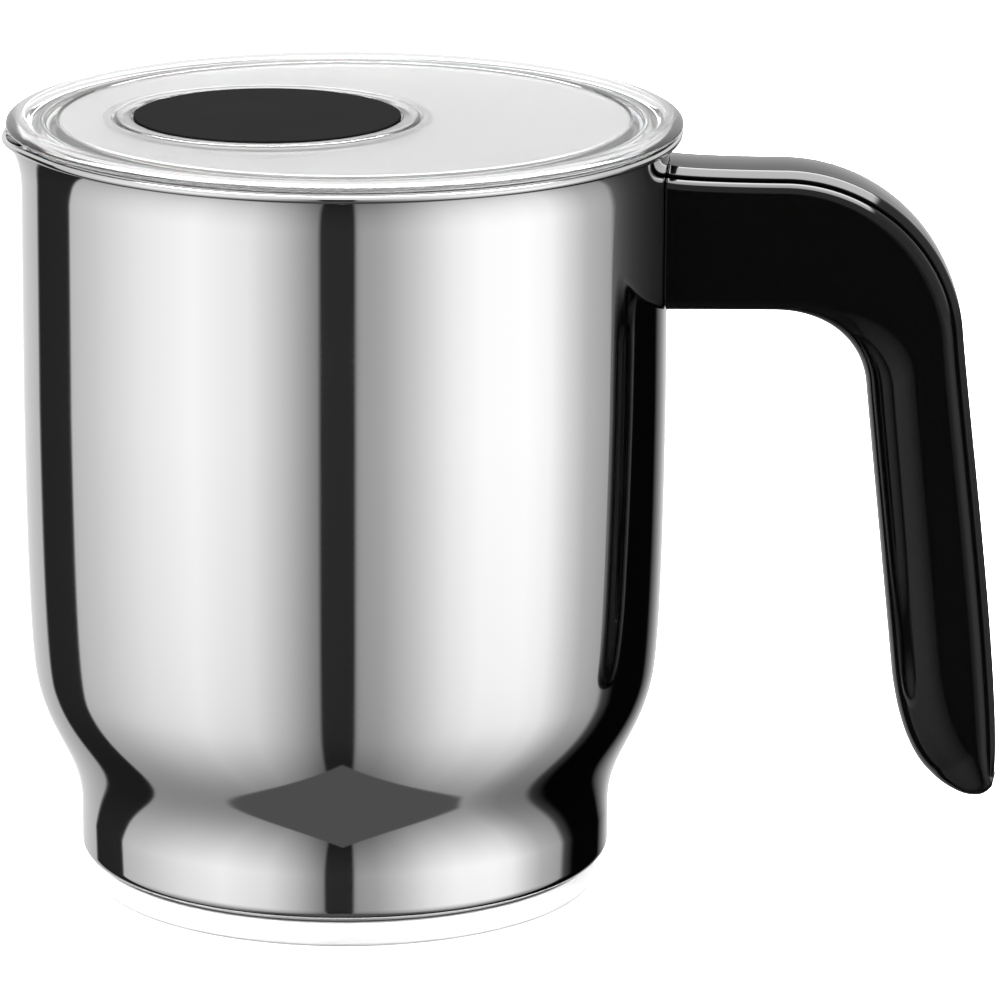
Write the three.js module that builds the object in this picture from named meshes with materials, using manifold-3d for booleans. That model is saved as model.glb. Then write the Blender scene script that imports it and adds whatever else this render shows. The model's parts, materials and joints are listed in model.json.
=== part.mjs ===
// Milk frother jug: a polished steel jug with an induction base, a magnetic whisk on a floor spindle,
// a clear lid with a fill cap, and an open-ended black handle.
// Millimetres, +Z up. The jug's axis is the Z axis, the base stands on z = 0, the handle points
// along +X and the pouring lip along -X.
import * as THREE from 'three';
import { mergeVertices } from 'three/addons/utils/BufferGeometryUtils.js';
import Module from 'manifold-3d';

const wasm = await Module();
wasm.setup();

// ---------- Driving dimensions ----------
const GAP = 0.3; // air left between two pieces that rest on each other
const RING_SEGMENTS = 44; // sides of the jug, base and lid
const CAP_SEGMENTS = 32; // sides of the fill cap
const HUB_SEGMENTS = 24; // sides of the whisk's round pieces

const JUG_RADIUS = 56; // outside of the straight wall
const FOOT_RADIUS = 46.45; // outside of the waist above the base
const WALL = 1; // sheet thickness of the jug
const JUG_UNDERSIDE = 5.1;
const RIM_RADIUS = 58.2;
const RIM_TOP = 134.7;
const LIP_REACH = 1.1; // how far the pouring lip leans out past the rim
const LIP_DIP = 1.7; // how far it dips below the rim
const LIP_HALF_ANGLE = THREE.MathUtils.degToRad(26);
const LIP_START = 118; // height at which the wall begins to lean out

const BASE_RADIUS = 44.15;
const BASE_HEIGHT = 4.3;
const BASE_SHEET = 0.8;

const LID_RADIUS = 58.5;
const LID_TOP = 136;
const SKIRT_INNER = 49.3;
const SKIRT_OUTER = 51.6;
const SKIRT_BOTTOM = 123.4;

const CAP_X = -13.4; // the fill opening is off centre, towards the lip
const CAP_FLANGE_RADIUS = 26.5;
const CAP_DISC_RADIUS = 23.1;
const FILL_HOLE_RADIUS = 23.3;
const CAP_TOP = 136.3;

const HANDLE_HALF_WIDTH = 10;
const HANDLE_ROUNDING = 2.6;
const ARM_TOP = 129.3; // at the jug; the arm's top drops a little on its way to the bend
const ARM_FALL = 0.9;
const ARM_BOTTOM = 103.9;
const BEND_X = 75.7; // where the arm ends and its outside begins to turn down
const BEND_RADIUS = 31.9;
const CROOK_X = 74.5; // the same on the inside
const CROOK_RADIUS = 16.3;
const GRIP_LEAN = THREE.MathUtils.degToRad(5.4); // how far the grip leans out below the bend
const COVER_DEPTH = 1.5; // thickness of the strip that closes the handle

const SPINDLE_RADIUS = 2;
const HUB_BOTTOM = 8.8;
const HUB_RADIUS = 15;
const MAGNET_COUNT = 4;
const MAGNET_CIRCLE = 10.3;
const MAGNET_RADIUS = 2.8;
const COIL_RING_RADIUS = 21;
const COIL_RADIUS = 3.8;
const COIL_TURNS = 24;
const COIL_HEIGHT = 22.5;
const SPOKE_COUNT = 3;

// ---------- Finishes ----------
const finish = (color, roughness, metalness, extra = {}) =>
  new THREE.MeshStandardMaterial({ color, roughness, metalness, ...extra });
const polishedSteel = () => finish('#c9cacb', 0.08, 1);
const satinSteel = () => finish('#d0d0cd', 0.35, 1);
const aluminium = () => finish('#b9bbbd', 0.4, 1);
const clearPlastic = () => finish('#dfe3e4', 0.06, 0, { transparent: true, opacity: 0.35 });
const whiteSilicone = () => finish('#dcdddc', 0.5, 0);
const glossBlack = () => finish('#0b0b0c', 0.12, 0);
const satinBlack = () => finish('#2b2b2c', 0.45, 0);
const whiskBlack = () => finish('#1b1b1d', 0.35, 0);
const magnetNickel = () => finish('#9c9c98', 0.25, 1);
const slipWhite = () => finish('#e6e5df', 0.4, 0);

// ---------- Geometry helpers ----------

// Welds a closed surface, drops collapsed triangles and turns its faces outwards.
function closed(geometry) {
  const bare = new THREE.BufferGeometry();
  bare.setAttribute('position', geometry.getAttribute('position'));
  if (geometry.index) bare.setIndex(geometry.index);
  const welded = mergeVertices(bare, 1e-4);
  const corners = welded.index.array;
  const kept = [];
  for (let i = 0; i < corners.length; i += 3) {
    const [a, b, c] = corners.slice(i, i + 3);
    if (a !== b && b !== c && c !== a) kept.push(a, b, c);
  }
  welded.setIndex(signedVolume(welded, kept) < 0 ? kept.reverse() : kept);
  return welded;
}

function signedVolume(geometry, corners) {
  const position = geometry.getAttribute('position');
  const [a, b, c] = [new THREE.Vector3(), new THREE.Vector3(), new THREE.Vector3()];
  let volume = 0;
  for (let i = 0; i < corners.length; i += 3) {
    a.fromBufferAttribute(position, corners[i]);
    b.fromBufferAttribute(position, corners[i + 1]);
    c.fromBufferAttribute(position, corners[i + 2]);
    volume += a.dot(b.cross(c)) / 6;
  }
  return volume;
}

function solid(geometry) {
  const shape = closed(geometry);
  return new wasm.Manifold(new wasm.Mesh({
    numProp: 3,
    vertProperties: new Float32Array(shape.getAttribute('position').array),
    triVerts: new Uint32Array(shape.index.array),
  }));
}

function fromSolid(body) {
  const mesh = body.getMesh();
  const geometry = new THREE.BufferGeometry();
  geometry.setAttribute('position', new THREE.BufferAttribute(new Float32Array(mesh.vertProperties), 3));
  geometry.setIndex(new THREE.BufferAttribute(new Uint32Array(mesh.triVerts), 1));
  return geometry;
}

// A profile of [radius, height] points turned about the Z axis.
function revolve(profile, segments) {
  const points = profile.map(([radius, height]) => new THREE.Vector2(radius, height));
  return closed(new THREE.LatheGeometry(points, segments).rotateX(Math.PI / 2));
}

// A ring whose section is the given outline, closed on itself.
const revolveRing = (outline, segments) => revolve([...outline, outline[0]], segments);

const disc = (radius, bottom, top, segments) =>
  revolve([[0, bottom], [radius, bottom], [radius, top], [0, top]], segments);

// The same line without points that fall on the one before.
const distinct = (line) => line.filter((point, i) => i === 0 || point.distanceTo(line[i - 1]) > 0.02);

// An outline in the X-Z plane, thickened equally to both sides of it.
function plate(outline, halfWidth, rounding = 0, roundingSteps = 2) {
  const shape = new THREE.Shape(distinct(outline));
  const geometry = new THREE.ExtrudeGeometry(shape, {
    depth: 2 * (halfWidth - rounding),
    bevelEnabled: rounding > 0,
    bevelThickness: rounding,
    bevelSize: rounding,
    bevelOffset: -rounding,
    bevelSegments: roundingSteps,
  });
  return closed(geometry.translate(0, 0, rounding - halfWidth).rotateX(Math.PI / 2));
}

const box = (low, high) =>
  closed(new THREE.BoxGeometry(high[0] - low[0], high[1] - low[1], high[2] - low[2]).translate(
    (high[0] + low[0]) / 2, (high[1] + low[1]) / 2, (high[2] + low[2]) / 2));

function node(name, geometry, material) {
  const mesh = new THREE.Mesh(geometry, material);
  mesh.name = name;
  return mesh;
}

// ---------- Jug ----------

// The outside of the jug from its underside to the rim, as [radius, height] points.
function jugOutside() {
  const path = new THREE.Path();
  const footCorner = 2;
  path.moveTo(FOOT_RADIUS - footCorner, JUG_UNDERSIDE);
  path.absarc(FOOT_RADIUS - footCorner, JUG_UNDERSIDE + footCorner, footCorner, -Math.PI / 2, 0);
  path.lineTo(FOOT_RADIUS, 13.2);
  path.bezierCurveTo(FOOT_RADIUS, 23.9, 53.0, 27.4, 54.5, 38.8);
  path.bezierCurveTo(55.7, 48, JUG_RADIUS, 81.6, JUG_RADIUS, 90);
  path.lineTo(JUG_RADIUS, 122.5);
  path.quadraticCurveTo(JUG_RADIUS, 129.6, RIM_RADIUS, RIM_TOP - 1.3);
  path.lineTo(RIM_RADIUS, RIM_TOP - GAP);
  path.lineTo(RIM_RADIUS - GAP, RIM_TOP);
  return path.getPoints(4).map((point) => [point.x, point.y]);
}

// Moves a profile sideways from its surface; a positive distance is outwards.
function offsetProfile(profile, distance) {
  return profile.map((point, i) => {
    const before = profile[Math.max(i - 1, 0)];
    const after = profile[Math.min(i + 1, profile.length - 1)];
    const normal = new THREE.Vector2(after[1] - before[1], before[0] - after[0]).normalize();
    return [point[0] + normal.x * distance, point[1] + normal.y * distance];
  });
}

// Leans the wall outwards and down at the pouring lip.
function leanLip(geometry) {
  const position = geometry.getAttribute('position');
  for (let i = 0; i < position.count; i += 1) {
    const [x, y, z] = [position.getX(i), position.getY(i), position.getZ(i)];
    const angle = Math.abs(Math.atan2(y, -x));
    if (z < LIP_START || angle > LIP_HALF_ANGLE) continue;
    const across = Math.cos((angle / LIP_HALF_ANGLE) * (Math.PI / 2)) ** 2;
    const up = ((z - LIP_START) / (RIM_TOP - LIP_START)) ** 2;
    const stretch = 1 + (LIP_REACH * across * up) / Math.hypot(x, y);
    position.setXYZ(i, x * stretch, y * stretch, z - LIP_DIP * across * up);
  }
  return geometry;
}

function jugBody() {
  const outside = jugOutside();
  const wallTop = outside.filter(([, height]) => height > JUG_UNDERSIDE + 2 && height < RIM_TOP - GAP);
  const inside = offsetProfile(wallTop, -WALL).reverse();
  const floor = JUG_UNDERSIDE + WALL;
  const rimInside = [[RIM_RADIUS - 1.1, RIM_TOP], [RIM_RADIUS - 1.3, RIM_TOP - GAP]];
  const floorCorner = [[FOOT_RADIUS - 1.6, floor + 0.7], [FOOT_RADIUS - 2.4, floor]];
  const profile = [[0, JUG_UNDERSIDE], ...outside, ...rimInside, ...inside, ...floorCorner, [0, floor]];
  return leanLip(revolve(profile, RING_SEGMENTS));
}

// Capsule of magnetic steel that the hob or power base heats.
function basePlate() {
  const edge = 0.4;
  return revolve([
    [0, 0],
    [BASE_RADIUS - edge, 0],
    [BASE_RADIUS, edge],
    [BASE_RADIUS, BASE_HEIGHT - edge / 2],
    [BASE_RADIUS - edge / 2, BASE_HEIGHT],
    [BASE_RADIUS - BASE_SHEET, BASE_HEIGHT],
    [BASE_RADIUS - BASE_SHEET, BASE_SHEET],
    [0, BASE_SHEET],
  ], RING_SEGMENTS);
}

// Aluminium core of the base; its lip shows as the thin line above the capsule.
function heatSpreader() {
  const core = BASE_RADIUS - BASE_SHEET - GAP;
  const lipBottom = BASE_HEIGHT + 0.2;
  return revolve([
    [0, BASE_SHEET + 0.2],
    [core, BASE_SHEET + 0.2],
    [core, lipBottom],
    [BASE_RADIUS - GAP, lipBottom],
    [BASE_RADIUS - GAP, JUG_UNDERSIDE - 0.2],
    [0, JUG_UNDERSIDE - 0.2],
  ], RING_SEGMENTS);
}

// ---------- Lid and fill cap ----------

function lidDisc() {
  const plateBottom = LID_TOP - 2;
  const flangeBottom = LID_TOP - 1;
  const body = solid(revolve([
    [0, plateBottom],
    [SKIRT_INNER, plateBottom],
    [SKIRT_INNER, SKIRT_BOTTOM],
    [SKIRT_OUTER, SKIRT_BOTTOM],
    [SKIRT_OUTER, 125.5],
    [SKIRT_OUTER - 0.9, 125.5],
    [SKIRT_OUTER - 0.9, 129.6],
    [SKIRT_OUTER, 129.6],
    [SKIRT_OUTER, flangeBottom - 0.8],
    [SKIRT_OUTER + 0.8, flangeBottom],
    [LID_RADIUS - 0.3, flangeBottom],
    [LID_RADIUS, flangeBottom + 0.3],
    [LID_RADIUS, LID_TOP - 0.3],
    [LID_RADIUS - 0.3, LID_TOP],
    [0, LID_TOP],
  ], RING_SEGMENTS));
  const collar = solid(revolve([
    [0, SKIRT_BOTTOM],
    [FILL_HOLE_RADIUS + 2, SKIRT_BOTTOM],
    [FILL_HOLE_RADIUS + 2, 132.6],
    [CAP_FLANGE_RADIUS + 1.8, 132.6],
    [CAP_FLANGE_RADIUS + 1.8, LID_TOP - 1.5],
    [0, LID_TOP - 1.5],
  ], CAP_SEGMENTS).translate(CAP_X, 0, 0));
  const opening = solid(revolve([
    [0, SKIRT_BOTTOM - 1],
    [FILL_HOLE_RADIUS, SKIRT_BOTTOM - 1],
    [FILL_HOLE_RADIUS, LID_TOP - 1.1],
    [CAP_FLANGE_RADIUS + 0.4, LID_TOP - 1.1],
    [CAP_FLANGE_RADIUS + 0.4, LID_TOP + 1],
    [0, LID_TOP + 1],
  ], CAP_SEGMENTS).translate(CAP_X, 0, 0));
  return fromSolid(body.add(collar).subtract(opening));
}

function lidSeal() {
  const root = SKIRT_OUTER - 0.65;
  return revolveRing([
    [root, 125.8],
    [root + 1.1, 125.8],
    [54.6, 127.5],
    [54.6, 128.1],
    [root + 1.1, 129.3],
    [root, 129.3],
  ], RING_SEGMENTS);
}

// Clear plug, hollow underneath, with a flange to lift it by.
function fillCapCup() {
  const plug = FILL_HOLE_RADIUS - 0.9;
  const flangeBottom = CAP_TOP - 1.1;
  return revolve([
    [0, 133.6],
    [plug - 1.9, 133.6],
    [plug - 1.9, 124.2],
    [plug, 124.2],
    [plug, 127],
    [plug - 0.8, 127],
    [plug - 0.8, 129.4],
    [plug, 129.4],
    [plug, flangeBottom],
    [CAP_FLANGE_RADIUS - 0.3, flangeBottom],
    [CAP_FLANGE_RADIUS, flangeBottom + 0.3],
    [CAP_FLANGE_RADIUS, CAP_TOP - 0.3],
    [CAP_FLANGE_RADIUS - 0.3, CAP_TOP],
    [CAP_DISC_RADIUS + GAP, CAP_TOP],
    [CAP_DISC_RADIUS + GAP, CAP_TOP - 1],
    [0, CAP_TOP - 1],
  ], CAP_SEGMENTS);
}

function fillCapDisc() {
  const bottom = CAP_TOP - 0.8;
  const top = CAP_TOP + 0.2;
  return revolve([
    [0, bottom],
    [CAP_DISC_RADIUS, bottom],
    [CAP_DISC_RADIUS, top - 0.2],
    [CAP_DISC_RADIUS - 0.2, top],
    [0, top],
  ], CAP_SEGMENTS);
}

function fillCapSeal() {
  const root = FILL_HOLE_RADIUS - 1.45;
  return revolveRing([
    [root, 127.25],
    [root + 0.9, 127.25],
    [root + 1.15, 128.2],
    [root + 0.9, 129.15],
    [root, 129.15],
  ], CAP_SEGMENTS);
}

// ---------- Handle ----------

// Outer line of the handle, from the jug along the arm, round the bend and down the grip.
function handleOuterLine() {
  const path = new THREE.Path();
  const crest = ARM_TOP - ARM_FALL;
  path.moveTo(50, ARM_TOP + 0.3);
  path.lineTo(58, ARM_TOP);
  path.quadraticCurveTo(BEND_X - 6, crest, BEND_X, crest);
  path.absarc(BEND_X, crest - BEND_RADIUS, BEND_RADIUS, Math.PI / 2, GRIP_LEAN, true);
  path.bezierCurveTo(108.6, 86, 115.4, 38, 114.6, 20.5);
  return distinct(path.getPoints(8));
}

// Inner line of the handle, from the tip of the grip back up to the jug.
function handleInnerLine() {
  const path = new THREE.Path();
  path.moveTo(114.6, 20.5);
  path.quadraticCurveTo(114.4, 16.1, 109.8, 16.2);
  path.bezierCurveTo(102.4, 16.3, 98.2, 26, 96.4, 37.3);
  path.bezierCurveTo(94.9, 52.2, 92.3, 75.8,
    CROOK_X + CROOK_RADIUS * Math.cos(GRIP_LEAN),
    ARM_BOTTOM - CROOK_RADIUS + CROOK_RADIUS * Math.sin(GRIP_LEAN));
  path.absarc(CROOK_X, ARM_BOTTOM - CROOK_RADIUS, CROOK_RADIUS, GRIP_LEAN, Math.PI / 2);
  path.lineTo(50, ARM_BOTTOM);
  return distinct(path.getPoints(6));
}

// Moves an open line sideways, to the right of its direction of travel.
function shiftLine(line, distance) {
  return line.map((point, i) => {
    const before = line[Math.max(i - 1, 0)];
    const after = line[Math.min(i + 1, line.length - 1)];
    const along = after.clone().sub(before).normalize();
    return new THREE.Vector2(point.x + along.y * distance, point.y - along.x * distance);
  });
}

const handleBlank = () =>
  solid(plate([...handleOuterLine(), ...handleInnerLine()], HANDLE_HALF_WIDTH, HANDLE_ROUNDING));

// The slab outside a line that runs parallel to the handle's outer line at the given depth.
function coverSlab(depth, end) {
  const outer = handleOuterLine();
  const inner = shiftLine(outer, depth);
  const reach = shiftLine(outer, -6);
  const last = inner[inner.length - 1];
  const far = reach[reach.length - 1];
  const below = [new THREE.Vector2(last.x, end), new THREE.Vector2(far.x, end)];
  return solid(plate([...inner, ...below, ...reach.reverse()], HANDLE_HALF_WIDTH + 2));
}

// Everything within the given distance of the jug's outside.
function jugVolume(distance) {
  const outside = offsetProfile(jugOutside(), distance);
  const top = outside[outside.length - 1];
  return solid(revolve([[0, 0], [outside[0][0], 0], ...outside, [0, top[1]]], RING_SEGMENTS));
}

const ARM_FLOOR = 111; // bottom of the channel in the arm
const CHANNEL_HALF_WIDTH = 6.5;
const CHANNEL_END = 32; // height of its lower end in the grip
const TONGUE = { bottom: 117, top: 120, halfWidth: 5, end: 92 };
const SCREW_PLACES = [70, 84];
const SCREW = { headRadius: 3.2, shankRadius: 1.5, headTop: 122.4, tip: 107 };

// Channel inside the handle: deep in the arm, where the tongue lies, shallow down the grip.
function handleChannel() {
  const outer = shiftLine(handleOuterLine(), COVER_DEPTH - 0.5);
  const grip = outer.filter((point) => point.y > CHANNEL_END);
  const foot = grip[grip.length - 1];
  const outline = [
    ...grip,
    new THREE.Vector2(foot.x - 7, foot.y),
    new THREE.Vector2(99, 92),
    new THREE.Vector2(94, ARM_FLOOR),
    new THREE.Vector2(50, ARM_FLOOR),
  ];
  return solid(plate(outline, CHANNEL_HALF_WIDTH));
}

const upright = (radius, x, bottom, top) =>
  solid(disc(radius, bottom, top, HUB_SEGMENTS / 2).translate(x, 0, 0));

function handleShell() {
  let shell = handleBlank().subtract(coverSlab(COVER_DEPTH + GAP, 18 - GAP));
  shell = shell.subtract(handleChannel());
  for (const x of SCREW_PLACES) {
    shell = shell.add(upright(3.6, x, ARM_FLOOR - 1, TONGUE.bottom - GAP));
    shell = shell.subtract(upright(SCREW.shankRadius + GAP, x, SCREW.tip - 1, TONGUE.bottom));
  }
  return fromSolid(shell.subtract(jugVolume(GAP)));
}

// Clip legs stand at the given places along the outer line, as a share of its points.
const CLIP_PLACES = [0.3, 0.62, 0.8, 0.9];

function handleCover() {
  let cover = handleBlank().intersect(coverSlab(COVER_DEPTH, 18));
  const line = handleOuterLine();
  for (const share of CLIP_PLACES) {
    const i = Math.round(share * (line.length - 1));
    const along = line[i].clone().sub(line[i - 1]);
    const leg = new THREE.BoxGeometry(3, 2 * (CHANNEL_HALF_WIDTH - GAP), 4);
    leg.translate(0, 0, -2 - COVER_DEPTH / 2);
    leg.rotateY(-Math.atan2(along.y, along.x));
    cover = cover.add(solid(leg.translate(line[i].x, 0, line[i].y)));
  }
  return fromSolid(cover.subtract(jugVolume(GAP)));
}

// Steel saddle on the jug's wall with a tongue that carries the handle.
function handleBracket() {
  const saddle = jugVolume(GAP + 1.5).intersect(solid(box([40, -6, 112.5], [70, 6, 125.5])));
  let bracket = saddle.add(solid(box(
    [50, -TONGUE.halfWidth, TONGUE.bottom],
    [TONGUE.end, TONGUE.halfWidth, TONGUE.top],
  )));
  for (const x of SCREW_PLACES) {
    bracket = bracket.subtract(upright(SCREW.shankRadius + GAP, x, TONGUE.bottom - 1, TONGUE.top + 1));
  }
  return fromSolid(bracket.subtract(jugVolume(GAP)));
}

// Pan-head screw, head on the tongue, shank down into the shell.
function handleScrew() {
  const seat = TONGUE.top + GAP;
  return revolve([
    [0, SCREW.tip],
    [SCREW.shankRadius, SCREW.tip + 1.2],
    [SCREW.shankRadius, seat],
    [SCREW.headRadius, seat],
    [SCREW.headRadius, SCREW.headTop - 0.7],
    [SCREW.headRadius - 0.9, SCREW.headTop],
    [0, SCREW.headTop],
  ], HUB_SEGMENTS / 2);
}

// ---------- Whisk ----------

const FLOOR = JUG_UNDERSIDE + WALL;

function whiskSpindle() {
  return revolve([
    [0, FLOOR + 0.2],
    [6, FLOOR + 0.2],
    [6, FLOOR + 0.8],
    [5.4, FLOOR + 1.2],
    [SPINDLE_RADIUS, FLOOR + 1.2],
    [SPINDLE_RADIUS, 17],
    [1.2, 17.8],
    [0, 18],
  ], HUB_SEGMENTS);
}

function thrustWasher() {
  const bore = SPINDLE_RADIUS + GAP;
  return revolveRing([[bore, 7.5], [5, 7.5], [5, 8.1], [bore, 8.1]], HUB_SEGMENTS);
}

// Slippery sleeve that rides on the spindle and comes out with the whisk.
function whiskBushing() {
  const bore = SPINDLE_RADIUS + 0.12;
  return revolveRing([[bore, 8.4], [4.6, 8.4], [4.6, 9.2], [3.4, 9.2], [3.4, 18.2], [bore, 18.2]], HUB_SEGMENTS);
}

function whiskHub() {
  let hub = solid(revolve([
    [0, 18.8],
    [3.7, 18.8],
    [3.7, 9.5],
    [4.9, 9.5],
    [4.9, HUB_BOTTOM],
    [HUB_RADIUS - 0.5, HUB_BOTTOM],
    [HUB_RADIUS, HUB_BOTTOM + 0.5],
    [HUB_RADIUS, 13.6],
    [HUB_RADIUS - 1, 14.6],
    [5.8, 14.6],
    [5.8, 20.6],
    [4, 20.6],
    [4, 27],
    [2.7, 27],
    [2.7, 30.6],
    [0, 30.6],
  ], HUB_SEGMENTS));
  for (let i = 0; i < MAGNET_COUNT; i += 1) {
    const pocket = disc(MAGNET_RADIUS + GAP, HUB_BOTTOM - 1, 12.4, HUB_SEGMENTS / 2);
    hub = hub.subtract(solid(pocket.translate(MAGNET_CIRCLE, 0, 0).rotateZ(magnetAngle(i))));
  }
  return fromSolid(hub);
}

const magnetAngle = (i) => ((i + 0.5) * 2 * Math.PI) / MAGNET_COUNT;

function whiskMagnet() {
  return disc(MAGNET_RADIUS, HUB_BOTTOM + 0.2, 12, HUB_SEGMENTS / 2);
}

function magnetCover() {
  return revolveRing([[6.2, 7.6], [14, 7.6], [14.5, 8.1], [14.5, 8.6], [6.2, 8.6]], HUB_SEGMENTS);
}

// Wire ring on spokes, the core that the coil is wound on.
function whiskFrame() {
  const wire = 0.8;
  const ring = new THREE.TorusGeometry(COIL_RING_RADIUS, wire, 6, 2 * HUB_SEGMENTS);
  const collar = revolveRing([[4.3, 21], [6, 21], [6, 24], [4.3, 24]], HUB_SEGMENTS);
  let frame = solid(ring.translate(0, 0, COIL_HEIGHT)).add(solid(collar));
  for (let i = 0; i < SPOKE_COUNT; i += 1) {
    const spoke = new THREE.CylinderGeometry(wire, wire, COIL_RING_RADIUS - 5.2, 6);
    spoke.rotateZ(Math.PI / 2).translate((COIL_RING_RADIUS + 5.2) / 2, 0, COIL_HEIGHT);
    frame = frame.add(solid(spoke.rotateZ((i * 2 * Math.PI) / SPOKE_COUNT)));
  }
  return fromSolid(frame);
}

// Helix wound round a ring, a little short of a full circle so that its ends stay apart.
class RingHelix extends THREE.Curve {
  getPoint(t, target = new THREE.Vector3()) {
    const round = (0.004 + 0.992 * t) * 2 * Math.PI;
    const twist = COIL_TURNS * round;
    const reach = COIL_RING_RADIUS + COIL_RADIUS * Math.cos(twist);
    return target.set(reach * Math.cos(round), reach * Math.sin(round), COIL_HEIGHT + COIL_RADIUS * Math.sin(twist));
  }
}

function frothCoil() {
  const wire = new THREE.Shape().absarc(0, 0, 0.5, 0, 2 * Math.PI);
  return closed(new THREE.ExtrudeGeometry(wire, {
    steps: COIL_TURNS * 7,
    curveSegments: 3,
    extrudePath: new RingHelix(),
  }));
}

// Grip that the whisk is lifted out by.
function whiskKnob() {
  return revolve([
    [0, 31],
    [3, 31],
    [3, 27.3],
    [4.4, 27.3],
    [4.6, 29.5],
    [6.3, 31.4],
    [6.5, 33],
    [5.4, 34.6],
    [0, 35.2],
  ], HUB_SEGMENTS);
}

// ---------- Assembly ----------

function jugGroup() {
  const group = new THREE.Group();
  group.add(node('jug_body', jugBody(), polishedSteel()));
  group.add(node('base_plate', basePlate(), satinSteel()));
  group.add(node('heat_spreader', heatSpreader(), aluminium()));
  group.add(node('whisk_spindle', whiskSpindle(), polishedSteel()));
  group.add(node('thrust_washer', thrustWasher(), slipWhite()));
  return group;
}

function handleGroup() {
  const group = new THREE.Group();
  group.add(node('handle_bracket', handleBracket(), satinSteel()));
  group.add(node('handle_shell', handleShell(), glossBlack()));
  group.add(node('handle_cover', handleCover(), glossBlack()));
  SCREW_PLACES.forEach((x, i) => {
    const screw = node(`handle_screw_${i + 1}`, handleScrew(), satinSteel());
    screw.position.x = x;
    group.add(screw);
  });
  return group;
}

function lidGroup() {
  const group = new THREE.Group();
  group.add(node('lid_disc', lidDisc(), clearPlastic()));
  group.add(node('lid_seal', lidSeal(), whiteSilicone()));
  const cap = new THREE.Group();
  cap.position.x = CAP_X;
  cap.add(node('fill_cap_cup', fillCapCup(), clearPlastic()));
  cap.add(node('fill_cap_disc', fillCapDisc(), satinBlack()));
  cap.add(node('fill_cap_seal', fillCapSeal(), whiteSilicone()));
  group.add(cap);
  return group;
}

function whiskGroup() {
  const group = new THREE.Group();
  group.add(node('whisk_bushing', whiskBushing(), slipWhite()));
  group.add(node('whisk_hub', whiskHub(), whiskBlack()));
  for (let i = 0; i < MAGNET_COUNT; i += 1) {
    const magnet = node(`whisk_magnet_${i + 1}`, whiskMagnet(), magnetNickel());
    const angle = magnetAngle(i);
    magnet.position.set(MAGNET_CIRCLE * Math.cos(angle), MAGNET_CIRCLE * Math.sin(angle), 0);
    group.add(magnet);
  }
  group.add(node('magnet_cover', magnetCover(), whiskBlack()));
  group.add(node('whisk_frame', whiskFrame(), polishedSteel()));
  group.add(node('froth_coil', frothCoil(), polishedSteel()));
  group.add(node('whisk_knob', whiskKnob(), whiskBlack()));
  return group;
}

const group = new THREE.Group();
group.add(jugGroup(), handleGroup(), lidGroup(), whiskGroup());

export default group;
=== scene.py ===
"""A milk frother jug: polished steel wall, satin base, clear lid with a fill cap, black handle, coil whisk.

Lengths inside the classes are in millimetres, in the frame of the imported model, and become metres
when a mesh is made.
"""

import json
import logging
import math
from dataclasses import dataclass
from enum import Enum

import bmesh
import bpy
import numpy as np
from mathutils import Matrix, Vector


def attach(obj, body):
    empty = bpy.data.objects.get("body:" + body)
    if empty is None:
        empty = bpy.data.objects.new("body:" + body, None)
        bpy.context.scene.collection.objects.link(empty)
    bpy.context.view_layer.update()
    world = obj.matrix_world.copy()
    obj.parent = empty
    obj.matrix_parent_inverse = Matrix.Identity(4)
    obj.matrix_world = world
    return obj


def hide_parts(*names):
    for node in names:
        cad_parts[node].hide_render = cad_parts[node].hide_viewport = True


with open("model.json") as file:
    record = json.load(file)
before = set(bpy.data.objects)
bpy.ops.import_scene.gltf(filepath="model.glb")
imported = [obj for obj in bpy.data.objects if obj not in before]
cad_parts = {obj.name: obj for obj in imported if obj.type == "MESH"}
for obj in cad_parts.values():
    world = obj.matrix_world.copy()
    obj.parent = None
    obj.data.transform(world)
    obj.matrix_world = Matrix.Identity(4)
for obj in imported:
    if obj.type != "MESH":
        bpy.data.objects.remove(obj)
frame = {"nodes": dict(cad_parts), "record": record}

LOG = logging.getLogger("frother")
MM = 0.001
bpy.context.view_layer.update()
FILLET = 0.5523  # handle length, as a share of the radius, of the cubic that stands for a quarter circle
RECORD = frame["record"]
BODY_OF = {node: body for body, nodes in RECORD["behaviour"]["bodies"].items() for node in nodes}


# ---------------------------------------------------------------- surfaces


def bezier(controls: list[tuple[float, float]], count: int) -> np.ndarray:
    """Points of a Bezier curve: the controls weighted by the Bernstein polynomials of their degree.

    Args:
        controls: the control points, any number of them.
        count: how many points to return.

    Returns:
        An array of shape (count, 2).
    """
    points = np.array(controls, float)
    degree = len(points) - 1
    power = np.arange(degree + 1)
    share = np.linspace(0.0, 1.0, count)[:, None]
    weight = np.array([math.comb(degree, int(i)) for i in power])
    return (weight * share**power * (1.0 - share) ** (degree - power)) @ points


def arc(centre: tuple[float, float], radius: float, start: float, end: float, count: int) -> np.ndarray:
    """Points of a circular arc: centre plus radius times (cos, sin) of an even run of angles.

    Args:
        centre: middle of the circle.
        radius: its radius.
        start: first angle in degrees.
        end: last angle in degrees.
        count: how many points to return.

    Returns:
        An array of shape (count, 2).
    """
    angle = np.radians(np.linspace(start, end, count))[:, None]
    return np.array(centre) + radius * np.hstack([np.cos(angle), np.sin(angle)])


def resample(line: np.ndarray, shares: np.ndarray) -> np.ndarray:
    """The points of a line at given shares of its length, found by linear interpolation.

    Args:
        line: points of shape (n, 2).
        shares: places along it, from 0 to 1.

    Returns:
        An array of shape (len(shares), 2).
    """
    steps = np.linalg.norm(np.diff(line, axis=0), axis=1)
    length = np.concatenate([[0.0], np.cumsum(steps)])
    places = shares * length[-1]
    return np.stack([np.interp(places, length, line[:, i]) for i in range(2)], axis=1)


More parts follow.
